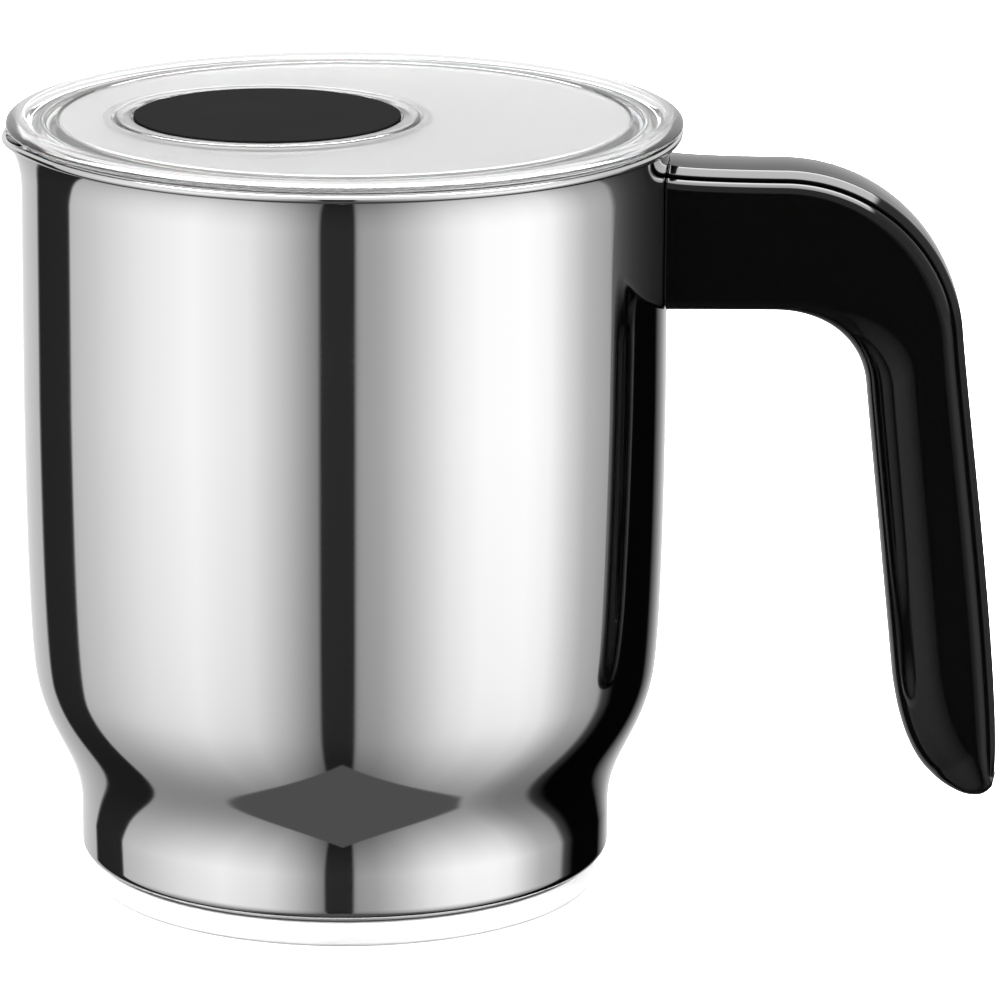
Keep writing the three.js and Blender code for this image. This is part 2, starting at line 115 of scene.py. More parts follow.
def rounded(corners: np.ndarray, reach: np.ndarray, steps: int = 6, support: float = 0.35) -> np.ndarray:
    """Rounds the corners of closed outlines.

    Each corner becomes a cubic Bezier curve that starts and ends the given reach away from it on its
    two edges, with its handles at FILLET of the way to the corner, which is a circular arc at a right
    angle. Neighbouring roundings share a short edge in proportion to their reaches. One more point
    just outside each rounding keeps the flat faces flat in shading.

    Args:
        corners: corner points of shape (..., n, k).
        reach: how far each rounding runs along its edges, of shape (..., n).
        steps: points on each rounding.
        support: distance of the extra points from the rounding.

    Returns:
        An array of shape (..., n * (steps + 2), k).
    """
    corners = np.asarray(corners, float)
    to_last = np.roll(corners, 1, axis=-2) - corners
    to_next = np.roll(corners, -1, axis=-2) - corners
    last_length = np.maximum(np.linalg.norm(to_last, axis=-1), 1e-9)
    next_length = np.maximum(np.linalg.norm(to_next, axis=-1), 1e-9)
    asked = np.broadcast_to(reach, last_length.shape)
    last_room = 0.98 * last_length * asked / np.maximum(asked + np.roll(asked, 1, axis=-1), 1e-9)
    next_room = 0.98 * next_length * asked / np.maximum(asked + np.roll(asked, -1, axis=-1), 1e-9)
    reach = np.minimum(asked, np.minimum(last_room, next_room))
    last_spare = last_length - reach - np.roll(reach, 1, axis=-1)
    next_spare = next_length - reach - np.roll(reach, -1, axis=-1)
    towards_last, towards_next = to_last / last_length[..., None], to_next / next_length[..., None]
    start = corners + towards_last * reach[..., None]
    end = corners + towards_next * reach[..., None]
    before = start + towards_last * np.minimum(support, 0.45 * last_spare)[..., None]
    after = end + towards_next * np.minimum(support, 0.45 * next_spare)[..., None]
    share = np.linspace(0.0, 1.0, steps)[:, None]
    first_handle = start + FILLET * (corners - start)
    second_handle = end + FILLET * (corners - end)
    curve = (
        (1 - share) ** 3 * start[..., None, :]
        + 3 * share * (1 - share) ** 2 * first_handle[..., None, :]
        + 3 * share**2 * (1 - share) * second_handle[..., None, :]
        + share**3 * end[..., None, :]
    )
    grouped = np.concatenate([before[..., None, :], curve, after[..., None, :]], axis=-2)
    return grouped.reshape(*corners.shape[:-2], -1, corners.shape[-1])


@dataclass
class Surface:
    """Points in millimetres, and faces of four corners each."""

    points: np.ndarray
    faces: np.ndarray

    @classmethod
    def lattice(cls, grid: np.ndarray, loop_rows: bool = False, loop_columns: bool = True) -> "Surface":
        """Joins neighbouring points of a grid by faces.

        Args:
            grid: points of shape (rows, columns, 3).
            loop_rows: whether the last row joins the first.
            loop_columns: whether the last column joins the first.

        Returns:
            The surface through the grid.
        """
        rows, columns = grid.shape[:2]
        index = np.arange(rows * columns).reshape(rows, columns)
        here = index if loop_rows else index[:-1]
        above = np.roll(index, -1, axis=0) if loop_rows else index[1:]
        turn = (lambda block: np.roll(block, -1, axis=1)) if loop_columns else (lambda block: block[:, 1:])
        cut = slice(None) if loop_columns else slice(None, -1)
        faces = np.stack([here[:, cut], turn(here), turn(above), above[:, cut]], axis=-1).reshape(-1, 4)
        return cls(grid.reshape(-1, 3), faces)

    def __add__(self, other: "Surface") -> "Surface":
        """Both surfaces as one."""
        return Surface(
            np.vstack([self.points, other.points]),
            np.vstack([self.faces, other.faces + len(self.points)]),
        )


def rings(stations: np.ndarray, segments: int, closed: bool) -> Surface:
    """Level circles joined into a surface: (centre + radius * cos, radius * sin, height) at each angle.

    Args:
        stations: rows of (centre x, radius, height).
        segments: points on each circle.
        closed: whether the last circle joins the first.

    Returns:
        The surface through the circles.
    """
    angle = np.linspace(0.0, 2 * np.pi, segments, endpoint=False)
    centre, radius, height = (stations[:, i, None] for i in range(3))
    grid = np.stack(
        [centre + radius * np.cos(angle), radius * np.sin(angle), height + 0 * angle],
        axis=-1,
    )
    return Surface.lattice(grid, loop_rows=closed)


def turned(corners: list[tuple[float, float, float]], segments: int, centre: float = 0.0) -> Surface:
    """A turned solid: an outline of (radius, height, rounding) corners carried round an upright axis.

    An outline whose first corner is on the axis runs from there back to the axis; any other closes on
    itself.

    Args:
        corners: radius, height and rounding of each corner.
        segments: points on each circle.
        centre: x of the axis.

    Returns:
        The turned surface.
    """
    outline = np.array(corners, float)
    on_axis = bool(outline[0, 0] == 0.0)
    line = rounded(outline[:, :2], outline[:, 2])
    if on_axis:
        start, end = outline[0, :2], outline[-1, :2]
        inner = line[(line[:, 0] > 1e-6)]
        line = np.vstack([start, inner, end])
    stations = np.column_stack([np.full(len(line), centre), line])
    return rings(stations, segments, closed=not on_axis)


def tube(path: np.ndarray, side: np.ndarray, radius: float, sides: int) -> Surface:
    """A round wire: circles of the given radius across the path, drawn in to a point at both ends.

    Args:
        path: centre points of shape (n, 3).
        side: a direction across the path at each point, of shape (n, 3).
        radius: radius of the wire.
        sides: points on each circle.

    Returns:
        The surface of the wire.
    """
    along = np.gradient(path, axis=0)
    along /= np.linalg.norm(along, axis=1, keepdims=True)
    first = side - (side * along).sum(axis=1, keepdims=True) * along
    first /= np.linalg.norm(first, axis=1, keepdims=True)
    second = np.cross(along, first)
    turn = np.linspace(0.0, 2 * np.pi, sides, endpoint=False)[:, None]
    ends = np.array([[0.0], [0.75], [1.0]])
    reach = np.ones((len(path), 1))
    reach[:3], reach[-3:] = ends, ends[::-1]
    ring = np.cos(turn)[None] * first[:, None] + np.sin(turn)[None] * second[:, None]
    return Surface.lattice(path[:, None] + radius * reach[:, None] * ring)


# ---------------------------------------------------------------- finishes


def linear(code: str) -> tuple[float, float, float, float]:
    """Turns an sRGB hex colour such as #C0C0C0 into linear red, green, blue and alpha."""
    parts = [int(code[i : i + 2], 16) / 255 for i in (1, 3, 5)]
    curve = [p / 12.92 if p <= 0.04045 else ((p + 0.055) / 1.055) ** 2.4 for p in parts]
    return (*curve, 1.0)


def add(
    tree: bpy.types.NodeTree, kind: str, inputs: dict | None = None, **settings: object,
) -> bpy.types.Node:
    """Adds a node to a tree.

    Args:
        tree: the node tree.
        kind: the node's type name.
        inputs: for each input's name or number, a value or an output socket to link to it.
        settings: the node's own properties.

    Returns:
        The new node.
    """
    node = tree.nodes.new(kind)
    for key, value in settings.items():
        setattr(node, key, value)
    for key, value in (inputs or {}).items():
        if isinstance(value, bpy.types.NodeSocket):
            tree.links.new(value, node.inputs[key])
        else:
            node.inputs[key].default_value = value
    return node


def blank_material(name: str) -> bpy.types.Material:
    """A new material with an empty node tree."""
    material = bpy.data.materials.new(name)
    material.use_nodes = True
    material.node_tree.nodes.clear()
    return material


def object_point(tree: bpy.types.NodeTree, scale: tuple[float, float, float]) -> bpy.types.NodeSocket:
    """Object coordinates multiplied by the given scale, in features per metre."""
    source = add(tree, "ShaderNodeTexCoord").outputs["Object"]
    return add(tree, "ShaderNodeMapping", {"Vector": source, "Scale": scale}).outputs["Vector"]


def axis_distance(tree: bpy.types.NodeTree, centre_x: float) -> bpy.types.NodeSocket:
    """Level distance, in metres, from the upright axis through centre_x."""
    source = add(tree, "ShaderNodeTexCoord").outputs["Object"]
    moved = add(tree, "ShaderNodeMapping", {
        "Vector": source, "Location": (-centre_x, 0, 0), "Scale": (1, 1, 0),
    })
    distance = add(tree, "ShaderNodeVectorMath", {0: moved.outputs["Vector"]}, operation="LENGTH")
    return distance.outputs["Value"]


# Numbers of the colour sockets of a Mix node, which come after those for numbers and vectors.
MIX_A, MIX_B, MIX_RESULT = 6, 7, 2


class Grain(Enum):
    """Which way the marks of a metal finish run."""

    ROUND_THE_AXIS = "round the axis"
    ACROSS_THE_FACE = "across the face"


@dataclass(frozen=True)
class PolishedSteel:
    """Stainless steel, deep drawn and buffed to a mirror: crisp reflections, faint level buffing lines."""

    name: str = "mirror_buffed_stainless_steel"
    colour: str = "#CECECE"
    roughness: float = 0.035
    haze: float = 0.03  # how much rougher the buffing lines are
    line_spacing: float = 0.7 * MM  # real buffing lines are about 0.05 mm; drawn coarser, so that they show
    line_length: float = 30 * MM

    def build(self) -> bpy.types.Material:
        """Makes the material."""
        material = blank_material(self.name)
        tree = material.node_tree
        along, across = 1 / self.line_length, 1 / self.line_spacing
        lines = add(tree, "ShaderNodeTexNoise", {
            "Vector": object_point(tree, (along, along, across)),
            "Scale": 1.0, "Detail": 3.0, "Roughness": 0.6,
        })
        cloud = add(tree, "ShaderNodeTexNoise", {
            "Vector": object_point(tree, (40.0, 40.0, 40.0)), "Scale": 1.0, "Detail": 2.0,
        })
        mixed = add(tree, "ShaderNodeMath", {
            0: lines.outputs["Fac"], 1: cloud.outputs["Fac"],
        }, operation="MULTIPLY")
        rough = add(tree, "ShaderNodeMapRange", {
            "Value": mixed.outputs[0], "From Min": 0.12, "From Max": 0.45,
            "To Min": self.roughness, "To Max": self.roughness + self.haze,
        })
        bump = add(tree, "ShaderNodeBump", {
            "Height": lines.outputs["Fac"], "Strength": 0.02, "Distance": 0.02 * MM,
        })
        shader = add(tree, "ShaderNodeBsdfPrincipled", {
            "Base Color": linear(self.colour), "Metallic": 1.0,
            "Roughness": rough.outputs[0], "Normal": bump.outputs[0],
        })
        add(tree, "ShaderNodeOutputMaterial", {"Surface": shader.outputs[0]})
        return material


@dataclass(frozen=True)
class SatinSteel:
    """Stainless steel turned or belt-ground to a satin: fine lines along the grain blur the reflections."""

    name: str = "satin_ground_stainless_steel"
    colour: str = "#D2D2D2"
    dark: str = "#B9B9B9"
    roughness: float = 0.3
    metallic: float = 1.0  # blasting leaves a matt skin that scatters some of the light, so less than 1 there
    grain: Grain = Grain.ROUND_THE_AXIS
    line_spacing: float = 0.25 * MM  # grit 180 leaves about 0.08 mm; drawn coarser, so that the lines show
    line_length: float = 14 * MM

    def build(self) -> bpy.types.Material:
        """Makes the material."""
        material = blank_material(self.name)
        tree = material.node_tree
        along, across = 1 / self.line_length, 1 / self.line_spacing
        scale = (along, along, across) if self.grain is Grain.ROUND_THE_AXIS else (across, along, along)
        lines = add(tree, "ShaderNodeTexNoise", {
            "Vector": object_point(tree, scale), "Scale": 1.0, "Detail": 4.0, "Roughness": 0.7,
        })
        tint = add(tree, "ShaderNodeMix", {
            0: lines.outputs["Fac"], MIX_A: linear(self.dark), MIX_B: linear(self.colour),
        }, data_type="RGBA")
        rough = add(tree, "ShaderNodeMapRange", {
            "Value": lines.outputs["Fac"], "From Min": 0.3, "From Max": 0.7,
            "To Min": self.roughness - 0.06, "To Max": self.roughness + 0.1,
        })
        bump = add(tree, "ShaderNodeBump", {
            "Height": lines.outputs["Fac"], "Strength": 0.25, "Distance": 0.02 * MM,
        })
        shader = add(tree, "ShaderNodeBsdfPrincipled", {
            "Base Color": tint.outputs[MIX_RESULT], "Metallic": self.metallic,
            "Roughness": rough.outputs[0], "Normal": bump.outputs[0],
        })
        add(tree, "ShaderNodeOutputMaterial", {"Surface": shader.outputs[0]})
        return material


@dataclass(frozen=True)
class Moulded:
    """A moulded plastic or rubber: the tool's polish gives the gloss, its spark erosion the texture."""

    name: str
    colour: str
    roughness: float
    grain: float  # size of the tool's texture
    relief: float  # depth of that texture
    spread: float = 0.05  # how much the roughness changes over the surface
    ior: float = 1.5
    specular: float = 0.5
    scatter: float = 0.0  # share of light that travels under the surface

    def build(self) -> bpy.types.Material:
        """Makes the material."""
        material = blank_material(self.name)
        tree = material.node_tree
        fine = add(tree, "ShaderNodeTexNoise", {
            "Vector": object_point(tree, (1 / self.grain,) * 3),
            "Scale": 1.0, "Detail": 3.0, "Roughness": 0.55,
        })
        broad = add(tree, "ShaderNodeTexNoise", {
            "Vector": object_point(tree, (60.0, 60.0, 60.0)), "Scale": 1.0, "Detail": 3.0,
        })
        rough = add(tree, "ShaderNodeMapRange", {
            "Value": broad.outputs["Fac"], "From Min": 0.3, "From Max": 0.7,
            "To Min": self.roughness, "To Max": self.roughness + self.spread,
        })
        bump = add(tree, "ShaderNodeBump", {
            "Height": fine.outputs["Fac"], "Strength": 0.4, "Distance": self.relief,
        })
        shader = add(tree, "ShaderNodeBsdfPrincipled", {
            "Base Color": linear(self.colour), "Roughness": rough.outputs[0], "IOR": self.ior,
            "Specular IOR Level": self.specular, "Normal": bump.outputs[0],
            "Subsurface Weight": self.scatter, "Subsurface Scale": 1.5 * MM,
        })
        add(tree, "ShaderNodeOutputMaterial", {"Surface": shader.outputs[0]})
        return material


@dataclass(frozen=True)
class ClearPlastic:
    """Clear styrene copolymer, moulded in a polished tool whose middle was lightly blasted to a frost."""

    name: str
    frosted_to: float  # radius of the frosted middle, in metres; 0 leaves all of it clear
    colour: str = "#F4F4F4"
    frost_painted_shade_colour: str = "#CDCDCD"  # painted shade: the frosted middle is tinted darker grey so that it reads grey under the studio light; the frost's own scatter is in the roughness
    roughness: float = 0.03
    frost: float = 0.38
    grain: float = 0.4 * MM
    ior: float = 1.52

    def build(self) -> bpy.types.Material:
        """Makes the material."""
        material = blank_material(self.name)
        tree = material.node_tree
        clear = add(tree, "ShaderNodeMapRange", {
            "Value": axis_distance(tree, 0.0), "From Min": self.frosted_to - 0.2 * MM,
            "From Max": self.frosted_to + 0.2 * MM,
        }, interpolation_type="SMOOTHSTEP")
        rough = add(tree, "ShaderNodeMapRange", {
            "Value": clear.outputs[0], "To Min": self.frost, "To Max": self.roughness,
        })
        # painted shade: the frosted middle gets the darker grey tint, the clear rim the pale one
        tint = add(tree, "ShaderNodeMix", {
            0: clear.outputs[0], MIX_A: linear(self.frost_painted_shade_colour), MIX_B: linear(self.colour),
        }, data_type="RGBA")
        fine = add(tree, "ShaderNodeTexNoise", {
            "Vector": object_point(tree, (1 / self.grain,) * 3), "Scale": 1.0, "Detail": 2.0,
        })
        bump = add(tree, "ShaderNodeBump", {
            "Height": fine.outputs["Fac"], "Strength": 0.1, "Distance": 0.01 * MM,
        })
        shader = add(tree, "ShaderNodeBsdfPrincipled", {
            "Base Color": tint.outputs[MIX_RESULT], "Roughness": rough.outputs[0], "IOR": self.ior,
            "Transmission Weight": 1.0, "Normal": bump.outputs[0],
        })
        add(tree, "ShaderNodeOutputMaterial", {"Surface": shader.outputs[0]})
        return material


class Finishes:
    """Every finish of the object, each made once."""

    def __init__(self) -> None:
        """Makes the materials."""
        self.polished = PolishedSteel().build()
        self.blasted = SatinSteel(
            name="bead_blasted_stainless_steel", colour="#EFEFEF", dark="#DADADA",
            roughness=0.5, metallic=0.55,
        ).build()
        self.bracket = SatinSteel(name="brushed_stainless_strip", grain=Grain.ACROSS_THE_FACE).build()
        self.aluminium = SatinSteel(
            name="rolled_aluminium", colour="#BFC0C2", dark="#A4A5A7", roughness=0.42,
        ).build()
        self.screw = SatinSteel(
            name="zinc_plated_steel", colour="#C6C7CA", dark="#A9ABB0", roughness=0.24,
        ).build()
        self.spring = PolishedSteel(
            name="drawn_spring_steel_wire", roughness=0.12, line_length=3 * MM,
        ).build()
        self.nickel = SatinSteel(
            name="nickel_plated_magnet", colour="#BDB9B0", dark="#A8A49B", roughness=0.16,
        ).build()
        self.handle = Moulded(
            name="gloss_black_moulded_plastic", colour="#020202", roughness=0.05, grain=0.5 * MM,
            relief=0.0008 * MM, spread=0.02, specular=0.2,
        ).build()
        self.cap_black = Moulded(
            name="spark_eroded_black_plastic", colour="#080808", roughness=0.62, grain=0.25 * MM,
            relief=0.012 * MM, specular=0.004,
        ).build()
        self.whisk_black = Moulded(
            name="satin_black_nylon", colour="#141416", roughness=0.34, grain=0.3 * MM, relief=0.008 * MM,
        ).build()
        self.bearing = Moulded(
            name="natural_acetal", colour="#E4E3DC", roughness=0.32, grain=0.4 * MM,
            relief=0.004 * MM, scatter=0.2,
        ).build()
        self.silicone = Moulded(
            name="translucent_silicone_rubber", colour="#D9DAD9", roughness=0.42, grain=0.5 * MM,
            relief=0.004 * MM, ior=1.41, scatter=0.35,
        ).build()
        self.lid = ClearPlastic("frosted_clear_copolymer", frosted_to=49.2 * MM).build()
        self.cap_clear = ClearPlastic("polished_clear_copolymer", frosted_to=0.0).build()


# ---------------------------------------------------------------- pieces


def place(name: str, node: str, surface: Surface, material: bpy.types.Material) -> bpy.types.Object:
    """Makes a closed piece, shaded smooth, that stands for a node of the model and rides on its body.

    Args:
        name: the piece's own name.
        node: the node that it stands for.
        surface: its shape, in millimetres.
        material: its finish.

    Returns:
        The new object.
    """
    mesh = bpy.data.meshes.new(name)
    mesh.from_pydata((surface.points * MM).tolist(), [], surface.faces.tolist())
    shape = bmesh.new()
    shape.from_mesh(mesh)
    bmesh.ops.remove_doubles(shape, verts=shape.verts, dist=1e-7)
    bmesh.ops.recalc_face_normals(shape, faces=shape.faces)
    shape.to_mesh(mesh)
    shape.free()
    mesh.validate()
    mesh.shade_smooth()
    mesh.materials.append(material)
    piece = bpy.data.objects.new(name, mesh)
    bpy.context.scene.collection.objects.link(piece)
    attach(piece, BODY_OF[node])
    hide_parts(node)
    LOG.info("%s: %d faces, stands for %s", name, len(mesh.polygons), node)
    return piece


def repaint(node: str, material: bpy.types.Material) -> None:
    """Gives a node that keeps its own shape a new finish."""
    slots = frame["nodes"][node].data.materials
    slots.clear()
    slots.append(material)
    LOG.info("%s: keeps its shape, finish %s", node, material.name)


@dataclass
class Jug:
    """The drawn steel jug and the sandwich base under it."""

    wall: float = 1.0
    floor: float = 6.1
    underside: float = 5.1
    foot_radius: float = 46.45
    radius: float = 56.0
    rim_radius: float = 58.45
    rim_top: float = 134.65
    bead: float = 0.8  # radius of the rolled rim
    lip_radius: float = 59.3
    lip_bead: float = 0.5  # the roll is pressed thinner at the pouring lip
    lip_dip: float = 1.6
    lip_half_angle: float = math.radians(30)
    lip_start: float = 118.0
    base_radius: float = 44.15
    base_height: float = 4.3
    base_sheet: float = 0.8
    segments: int = 256

    def outside(self, at_lip: bool = False) -> np.ndarray:
        """The outside line from foot to rim: arc, waist, body and flare.

        Args:
            at_lip: whether to give the line at the pouring lip, whose flare is wider.

        Returns:
            Rows of (radius, height).
        """
        foot = arc((self.foot_radius - 2, self.underside + 2), 2, -90, 0, 12)
        waist = bezier([(self.foot_radius, 13.2), (self.foot_radius, 23.9), (53.0, 27.4), (54.5, 38.8)], 64)
        body = bezier([(54.5, 38.8), (55.7, 48.0), (self.radius, 81.6), (self.radius, 90.0)], 48)
        start, bend, reach = (123.5, 130.2, 2.5) if at_lip else (127.0, 131.2, 0.75)
        edge = (self.radius + reach, self.rim_top - 1.45)
        flare = bezier([(self.radius, start), (self.radius, bend), edge], 24)
        return np.vstack([foot, waist, body[1:], flare])

    def radius_at(self, height: np.ndarray) -> np.ndarray:
        """Outside radius at each height, read off the outside line."""
        line = self.outside()
        return np.interp(height, line[:, 1], line[:, 0])

    def outline(self, at_lip: bool) -> np.ndarray:
        """The whole section of the jug: from the axis outside, over the rolled rim, to the axis inside.

        At the lip everything above lip_start is lowered, by the square of the height above it.

        Args:
            at_lip: whether to give the section through the pouring lip.

        Returns:
            Rows of (radius, height).
        """
        outside = self.outside(at_lip)
        along = np.gradient(outside, axis=0)
        across = np.column_stack([along[:, 1], -along[:, 0]])
        across /= np.linalg.norm(across, axis=1, keepdims=True)
        inside = (outside - self.wall * across)[10:][::-1]
        radius, bead = (self.lip_radius, self.lip_bead) if at_lip else (self.rim_radius, self.bead)
        rim = arc((radius - bead, self.rim_top - bead), bead, -150, 150, 22)
        wall_inside = self.foot_radius - self.wall
        floor_corner = bezier([(wall_inside, 9.6), (wall_inside, self.floor), (41.5, self.floor)], 12)
        line = np.vstack([
            [(0.0, self.underside), (41.0, self.underside)], outside, rim, inside[inside[:, 1] > 9.7],
            floor_corner, [(0.0, self.floor)],
        ])
        up = np.clip((line[:, 1] - self.lip_start) / (self.rim_top - self.lip_start), 0.0, 1.0) ** 2
        line[:, 1] -= self.lip_dip * up * at_lip
        return line

    def wall_surface(self) -> Surface:
        """The jug as one closed sheet.

        Round the axis its section passes from the ordinary one to the lip's, by cos squared of the
        angle from the lip.
        """
        angle = np.linspace(0.0, 2 * np.pi, self.segments, endpoint=False)
        share = np.cos(np.minimum(np.abs(angle - np.pi) / self.lip_half_angle, 1.0) * np.pi / 2) ** 2
        ordinary, lip = self.outline(False)[:, None], self.outline(True)[:, None]
        line = ordinary + (lip - ordinary) * share[:, None]
        radius, height = line[..., 0], line[..., 1]
        return Surface.lattice(np.stack([radius * np.cos(angle), radius * np.sin(angle), height], axis=-1))

    def base_surface(self) -> Surface:
        """The capsule under the jug: an upturned shallow dish with rounded edges and a rolled foot line."""
        r, h, t = self.base_radius, self.base_height, self.base_sheet
        return turned([
            (0, 0, 0), (r - 3.2, 0, 0.2), (r - 2.8, 0.15, 0.2), (r - 2.2, 0.0, 0.2), (r, 0, 0.5), (r, h, 0.3),
            (r - t, h, 0.15), (r - t, t, 0.3), (0, t, 0),
        ], self.segments)

    def spreader_surface(self) -> Surface:
        """The core of the base, whose lip shows as a thin line above the capsule."""
        core = self.base_radius - self.base_sheet - 0.3
        lip = self.base_height + 0.2
        return turned([
            (0, 1.0, 0), (core, 1.0, 0.2), (core, lip, 0.1), (self.base_radius - 0.3, lip, 0.1),
            (self.base_radius - 0.3, 4.9, 0.1), (0, 4.9, 0),
        ], self.segments)

    def build(self, finishes: Finishes) -> None:
        """Makes the jug's pieces."""
        place("jug_wall_and_floor", "jug_body", self.wall_surface(), finishes.polished)
        place("base_capsule", "base_plate", self.base_surface(), finishes.blasted)
        place("heat_spreader_core", "heat_spreader", self.spreader_surface(), finishes.aluminium)


@dataclass
class Spindle:
    """The pin on the jug's floor that the whisk turns on, with its washer."""

    radius: float = 2.0
    foot: float = 6.3
    tip: float = 18.0
    segments: int = 64

    def build(self, finishes: Finishes) -> None:
        """Makes the pin with its welded foot, and the washer."""
        pin = turned([
            (0, self.foot, 0), (6, self.foot, 0.1), (6, 6.9, 0.2), (5.4, 7.3, 0.2), (self.radius, 7.3, 0.15),
            (self.radius, 17.0, 0.2), (1.2, 17.8, 0.4), (0, self.tip, 0),
        ], self.segments)
        washer = turned([(2.3, 7.5, 0.1), (5, 7.5, 0.1), (5, 8.1, 0.1), (2.3, 8.1, 0.1)], self.segments)
        place("spindle_pin", "whisk_spindle", pin, finishes.polished)
        place("spindle_washer", "thrust_washer", washer, finishes.bearing)


@dataclass
class Lid:
    """The clear lid, its seal, and the fill cap that sits off centre in it."""

    cap_x: float = -13.4
    top: float = 136.0
    radius: float = 58.5
    skirt_inner: float = 49.3
    skirt_outer: float = 51.6
    skirt_bottom: float = 123.4
    hole: float = 23.3
    recess: float = 26.9
    segments: int = 256

    def plate_surface(self) -> Surface:
        """The lid as circles that pass smoothly from the hole's axis to the jug's.

        Each corner is (centre x, radius, height, rounding), and the outline closes on itself.
        """
        c, top, skirt = self.cap_x, self.top, self.skirt_outer
        corners = np.array([
            (c, self.hole, self.skirt_bottom, 0.4), (c, self.hole, top - 1.1, 0.3),
            (c, self.recess, top - 1.1, 0.2), (c, self.recess, top + 0.15, 0.2),
            (c, self.recess + 0.8, top + 0.15, 0.3), (c, self.recess + 1.4, top, 0.4),
            (0, 48.9, top, 0.15), (0, 49.3, top - 0.3, 0.15), (0, 49.7, top, 0.15),
            (0, 53.4, top, 0.8), (0, 55.9, top + 0.65, 1.0), (0, 57.95, top + 0.2, 0.6),
            (0, self.radius, top - 0.3, 0.3), (0, self.radius, top - 0.95, 0.25),
            (0, self.radius - 0.6, top - 1.1, 0.2), (0, skirt + 0.8, top - 1.0, 0.2),
            (0, skirt, top - 1.8, 0.3), (0, skirt, 129.6, 0.12), (0, skirt - 0.9, 129.6, 0.12),
            (0, skirt - 0.9, 125.5, 0.12), (0, skirt, 125.5, 0.12), (0, skirt, self.skirt_bottom, 0.5),
            (0, self.skirt_inner, self.skirt_bottom, 0.5), (0, self.skirt_inner, top - 2, 0.7),
            (c, 28.3, top - 2, 0.3), (c, 28.3, 132.6, 0.4),
            (c, 25.3, 132.6, 0.3), (c, 25.3, self.skirt_bottom, 0.4),
        ])
        return rings(rounded(corners[:, :3], corners[:, 3]), self.segments, closed=True)

    def seal_surface(self) -> Surface:
        """The lid's seal: a root in its groove and two soft lips."""
        root = self.skirt_outer - 0.65
        return turned([
            (root, 125.8, 0.1), (root + 1.1, 125.8, 0.2), (54.4, 126.6, 0.2), (54.6, 127.0, 0.2),
            (root + 1.3, 127.3, 0.25), (54.4, 128.2, 0.2), (54.6, 128.6, 0.2), (root + 1.1, 129.3, 0.25),
            (root, 129.3, 0.1),
        ], self.segments)

    def cup_surface(self) -> Surface:
        """The fill cap's clear plug and flange."""
        plug = self.hole - 0.9
        return turned([
            (0, 133.6, 0), (plug - 1.9, 133.6, 0.4), (plug - 1.9, 124.2, 0.4), (plug, 124.2, 0.4),
            (plug, 127, 0.1), (plug - 0.8, 127, 0.1), (plug - 0.8, 129.4, 0.1), (plug, 129.4, 0.1),
            (plug, 135.2, 0.2), (26.5, 135.2, 0.25), (26.5, 136.2, 0.35), (25.6, 136.35, 0.4),
            (23.5, 136.2, 0.2), (23.4, 135.3, 0.1), (0, 135.3, 0),
        ], 160, self.cap_x)

    def disc_surface(self) -> Surface:
        """The black disc of the fill cap, very slightly crowned."""
        return turned([
            (0, 135.5, 0), (23.1, 135.5, 0.1), (23.1, 136.35, 0.25),
            (22.4, 136.42, 0.3), (12, 136.5, 4), (0, 136.52, 0),
        ], 160, self.cap_x)

    def cap_seal_surface(self) -> Surface:
        """The fill cap's seal, a bead in its groove."""
        root = self.hole - 1.45
        return turned([
            (root, 127.25, 0.1), (root + 0.9, 127.25, 0.3),
            (root + 1.15, 128.2, 0.5), (root + 0.9, 129.15, 0.3),
            (root, 129.15, 0.1),
        ], 160, self.cap_x)

    def build(self, finishes: Finishes) -> None:
        """Makes the lid's and the fill cap's pieces."""
        place("lid_plate", "lid_disc", self.plate_surface(), finishes.lid)
        place("lid_lip_seal", "lid_seal", self.seal_surface(), finishes.silicone)
        place("fill_cap_plug", "fill_cap_cup", self.cup_surface(), finishes.cap_clear)
        place("fill_cap_button", "fill_cap_disc", self.disc_surface(), finishes.cap_black)
        place("fill_cap_bead", "fill_cap_seal", self.cap_seal_surface(), finishes.silicone)


